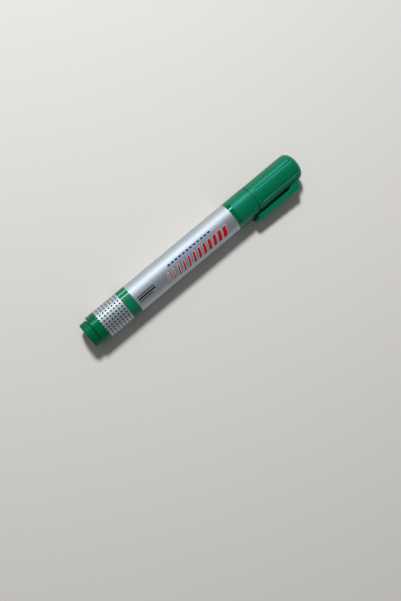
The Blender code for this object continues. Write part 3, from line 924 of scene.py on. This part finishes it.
class MARKER_OT_add_nose(bpy.types.Operator):
    """Model the nose piece: spigot, flange on the neck, land for the seal, and tapering nose"""

    bl_idname = "marker.add_nose"
    bl_label = "Nose piece"

    def execute(self, context):
        sizes = context.scene.marker_body
        flange = reach("nib_holder")
        bore = reach("nib") + FIT_GAP
        spigot = (sizes.radius - sizes.neck_step - sizes.neck_wall) / MM - FIT_GAP
        flange_start = NECK_END + SEAT_GAP
        flange_end = flange_start + 1.2
        land_end = flange_end + 4.0
        land = 5.2
        tip = bore + 0.9
        spigot_round = 0.2
        flange_round = 0.15
        land_round = 0.4
        tip_round = 0.35
        mouth_round = 0.12
        stations = [
            (HOLDER_START, bore, 0.0),
            (HOLDER_START, spigot, spigot_round),
            (flange_start, spigot, 0.0),
            (flange_start, flange, FINE_ROUND),
            (flange_end, flange, flange_round),
            (flange_end, land, flange_round),
            (land_end, land, land_round),
            (HOLDER_END, tip, tip_round),
            (HOLDER_END, bore, mouth_round),
        ]
        piece = turn("nose_moulding", stations, is_tube=True)
        colour = context.scene.marker_colours.nose
        green = moulded_polypropylene(
            "Nose polypropylene dark green", colour, smoothest=0.3, roughest=0.4, shine=0.45
        )
        complete(piece, "marker_body", "nib_holder", green)
        return {"FINISHED"}


class MARKER_OT_add_seal(bpy.types.Operator):
    """Model the sealing cup inside the cap"""

    bl_idname = "marker.add_seal"
    bl_label = "Sealing cup"

    def execute(self, context):
        radius = reach("inner_cap")
        bore = radius - 0.7
        cup_end = SEAL_END - 0.8
        end_round = 0.4
        mouth_round = 0.25
        cup_round = 0.5
        stations = [
            (SEAL_END, 0.0, 0.0),
            (SEAL_END, radius, end_round),
            (SEAL_START, radius, FINE_ROUND),
            (SEAL_START, bore, mouth_round),
            (cup_end, bore, cup_round),
            (cup_end, 0.0, 0.0),
        ]
        piece = turn("seal_cup", stations)
        colour = context.scene.marker_colours.seal
        natural = natural_polyethylene("Natural polyethylene", colour, see_through=0.15)
        complete(piece, "cap_body", "inner_cap", natural)
        return {"FINISHED"}


class MARKER_OT_add_cap(bpy.types.Operator):
    """Model the cap: skirt, groove, two sunk panels, rounded end, bore with its snap bead, and pocket clip"""

    bl_idname = "marker.add_cap"
    bl_label = "Cap and clip"

    def execute(self, context):
        body = context.scene.marker_body
        sizes = context.scene.marker_cap
        radius = body.radius / MM
        upper = radius - sizes.step / MM
        groove_start = CAP_START + sizes.skirt / MM
        groove_end = groove_start + sizes.groove_width / MM
        groove_floor = radius - sizes.groove_depth / MM
        bore = radius - 1.05
        upper_bore = upper - 1.6
        bore_end = SEAL_END + SEAT_GAP
        gate = CAP_END - GATE_DEPTH
        bead_start = CAP_START + 2.75
        bead_width = 1.0
        panel_start = groove_end + 2.85
        upper_round = 0.12
        groove_round = 0.08
        skirt_round = 0.15
        rim_round = 0.08
        mouth_round = 0.25
        bore_round = 0.3
        stations = [
            (gate, 0.0, 0.0),
            (gate, GATE_FLOOR, FINE_ROUND),
            (CAP_END, GATE_RIM, FINE_ROUND),
            (CAP_END, upper, sizes.end_round / MM),
            (groove_end, upper, upper_round),
            (groove_end, groove_floor, groove_round),
            (groove_start, groove_floor, groove_round),
            (groove_start, radius, skirt_round),
            (CAP_START, radius, rim_round),
            (CAP_START, bore, mouth_round),
            *bead(bead_start, bead_width, bore, bore - BEAD_HEIGHT),
            (SEAL_START, bore, 0.0),
            (SEAL_START, upper_bore, 0.0),
            (bore_end, upper_bore, bore_round),
            (bore_end, 0.0, 0.0),
        ]
        piece = turn("cap_moulding", stations)
        for panel_turn in (0.0, math.pi):
            cut(piece, "DIFFERENCE", self.model_panel(sizes, upper, panel_start, panel_turn))
        cut(piece, "UNION", self.model_clip(sizes, radius, upper))
        bpy.ops.object.mode_set(mode="EDIT")
        bpy.ops.mesh.select_all(action="SELECT")
        bpy.ops.transform.rotate(value=-CLIP_DROOP, orient_axis="X", center_override=AXIS)
        colour = context.scene.marker_colours.cap_green
        green = moulded_polypropylene(
            "Satin polypropylene green", colour, smoothest=0.38, roughest=0.44, shine=0.75
        )
        complete(piece, "cap_body", "cap", green)
        return {"FINISHED"}

    def model_panel(self, sizes, upper, start, panel_turn):
        """A bar that a panel is cut with. It runs out into the rounded end.

        The panel's floor is round and deepest along its edges, and its sides slope.
        """
        outside = upper + 0.5
        half_turn = math.radians(30.6)
        slope = sizes.panel_wall / MM / upper
        middle_depth = 0.4
        edge_power = 8
        steps = 4 * ARC_STEPS
        section = []
        for step in range(steps + 1):
            share = 2 * step / steps - 1
            depth = middle_depth + (1 - middle_depth) * share**edge_power
            section.append((upper - sizes.panel_depth / MM * depth, half_turn * share))
        section += [(upper, half_turn + slope), (outside, half_turn + 2 * slope)]
        section += [(outside, 0.0), (outside, -half_turn - 2 * slope), (upper, -half_turn - slope)]
        points = []
        for radius, angle in section:
            out = math.sin(panel_turn + angle) * radius
            up = math.cos(panel_turn + angle) * radius
            points.append(place(start, out, up))
        return bar("panel", points, ((CAP_END - start) * MM, 0.0, 0.0))

    def model_clip(self, sizes, radius, upper):
        """The clip, with rounded edges.

        It is what a bar with its side view and a bar with its outline from the front have in common.
        """
        inner = radius + sizes.clip_gap / MM
        outer = inner + sizes.clip_thickness / MM
        half_root = sizes.clip_root_width / MM / 2
        half_toe = sizes.clip_toe_width / MM / 2
        sunk = 0.1
        foot = math.sqrt(upper**2 - half_root**2) - sunk
        toe = CAP_START + 7.2
        root = CAP_END - 4.05
        grip = inner - 0.2
        room = 12.0
        # From the root along the back to the toe, and along the underside, with its bump, to the root again
        stations = [
            (root, foot, 0.0),
            (root - 3.5, outer, 0.5),
            (toe, outer, 1.0),
            (toe, outer - 1.2, 0.3),
            (toe + 2.6, grip, 0.4),
            (toe + 3.6, grip, 0.3),
            (toe + 4.6, inner, 0.3),
            (root - 8.0, inner, 0.6),
            (root - 5.0, foot, 0.0),
        ]
        side_view = [place(along, out, -room / 2) for along, out in rounded(stations)]
        piece = bar("clip", side_view, (0.0, 0.0, room * MM))
        outline = [(root, half_root), (root, -half_root), (toe, -half_toe), (toe, half_toe)]
        front_view = [place(along, room, up) for along, up in outline]
        cut(piece, "INTERSECT", bar("clip_outline", front_view, (0.0, room * MM, 0.0)))
        bpy.ops.object.mode_set(mode="EDIT")
        nearly = 0.01

        def is_rim(edge):
            flanks = [abs(face.normal.y) < nearly for face in edge.link_faces]
            highest = max(AXIS.y - corner.co.y for corner in edge.verts)
            return sum(flanks) == 1 and highest > (foot + nearly) * MM

        pick(piece, "EDGE", is_rim)
        bpy.ops.mesh.bevel(offset=sizes.clip_round, segments=4, affect="EDGES")
        return piece


class MARKER_OT_add_stage(bpy.types.Operator):
    """Set up the plain studio: pale floor, softboxes, room light and the camera"""

    bl_idname = "marker.add_stage"
    bl_label = "Studio"

    def execute(self, context):
        scene = context.scene
        studio = scene.marker_studio
        deselect()
        bpy.ops.mesh.primitive_plane_add(size=FLOOR_SIZE, location=(0.0, 0.0, CAD_LOW.z))
        floor = context.object
        floor.name = floor.data.name = "studio_floor"
        floor.data.materials.append(pale_floor(scene.marker_colours.floor))
        key = self.add_softbox(
            "key_softbox",
            heading=(0.342, 0.94),
            elevation=56.5,
            distance=0.9,
            size=(0.13, 0.15),
            power=studio.key,
        )
        strip = self.add_softbox(
            "strip_softbox",
            heading=(0.0, 1.0),
            elevation=42.5,
            distance=0.6,
            size=(0.6, 0.07),
            power=studio.strip,
        )
        # The strip alone draws the long highlight, as a reflector card does
        key.visible_glossy = False
        strip.visible_diffuse = False
        world = bpy.data.worlds.new("studio_room")
        world.use_nodes = True
        background = world.node_tree.nodes["Background"]
        background.inputs["Color"].default_value = (1.0, 1.0, 1.0, 1.0)
        background.inputs["Strength"].default_value = studio.room
        scene.world = world
        scene.view_settings.view_transform = "Standard"
        deselect()
        bpy.ops.object.camera_add(location=CAMERA_PLACE)
        camera = context.object
        camera.name = camera.data.name = "photo_camera"
        camera.rotation_mode = "ZYX"
        camera.rotation_euler = (0.0, math.radians(CAMERA_TILT), math.radians(CAMERA_TURN))
        camera.data.sensor_width = CAMERA_SENSOR
        camera.data.lens = CAMERA_LENS
        camera.data.clip_start = CAMERA_NEAR
        scene.camera = camera
        return {"FINISHED"}

    def add_softbox(self, name, heading, elevation, distance, size, power):
        """A rectangular soft light that faces the marker, from degrees above a level heading."""
        tilt = math.radians(elevation)
        towards = Vector((heading[0] * math.cos(tilt), heading[1] * math.cos(tilt), math.sin(tilt)))
        deselect()
        bpy.ops.object.light_add(type="AREA", location=AXIS + towards * distance)
        light = bpy.context.object
        light.name = light.data.name = name
        light.rotation_euler = towards.to_track_quat("Z", "Y").to_euler()
        light.data.shape = "RECTANGLE"
        light.data.size, light.data.size_y = size
        light.data.energy = power
        return light


class MARKER_PT_sidebar(bpy.types.Panel):
    """Sizes, colours and light levels, and a button for each step"""

    bl_idname = "MARKER_PT_sidebar"
    bl_label = "Marker"
    bl_space_type = "VIEW_3D"
    bl_region_type = "UI"
    bl_category = "Marker"

    def draw(self, context):
        for group_name, group_class in GROUPS.items():
            box = self.layout.box()
            box.label(text=group_class.__doc__)
            for name in group_class.__annotations__:
                box.prop(getattr(context.scene, group_name), name)
        for operator in OPERATORS:
            self.layout.operator(operator.bl_idname)


GROUPS = {
    "marker_body": MarkerBodySizes,
    "marker_cap": MarkerCapSizes,
    "marker_print": MarkerPrintSizes,
    "marker_colours": MarkerColours,
    "marker_studio": MarkerStudio,
}

# In the order in which they run
OPERATORS = (
    MARKER_OT_add_barrel,
    MARKER_OT_add_film,
    MARKER_OT_add_plug,
    MARKER_OT_add_filler,
    MARKER_OT_add_nib,
    MARKER_OT_add_nose,
    MARKER_OT_add_seal,
    MARKER_OT_add_cap,
    MARKER_OT_add_stage,
)


def register():
    for made in (*GROUPS.values(), *OPERATORS, MARKER_PT_sidebar):
        bpy.utils.register_class(made)
    for name, group in GROUPS.items():
        setattr(bpy.types.Scene, name, PointerProperty(type=group))


def unregister():
    for name in GROUPS:
        delattr(bpy.types.Scene, name)
    for made in (MARKER_PT_sidebar, *reversed(OPERATORS), *reversed(GROUPS.values())):
        bpy.utils.unregister_class(made)


def main():
    register()
    bpy.ops.marker.add_barrel()
    bpy.ops.marker.add_film()
    bpy.ops.marker.add_plug()
    bpy.ops.marker.add_filler()
    bpy.ops.marker.add_nib()
    bpy.ops.marker.add_nose()
    bpy.ops.marker.add_seal()
    bpy.ops.marker.add_cap()
    bpy.ops.marker.add_stage()


if __name__ == "__main__":
    main()
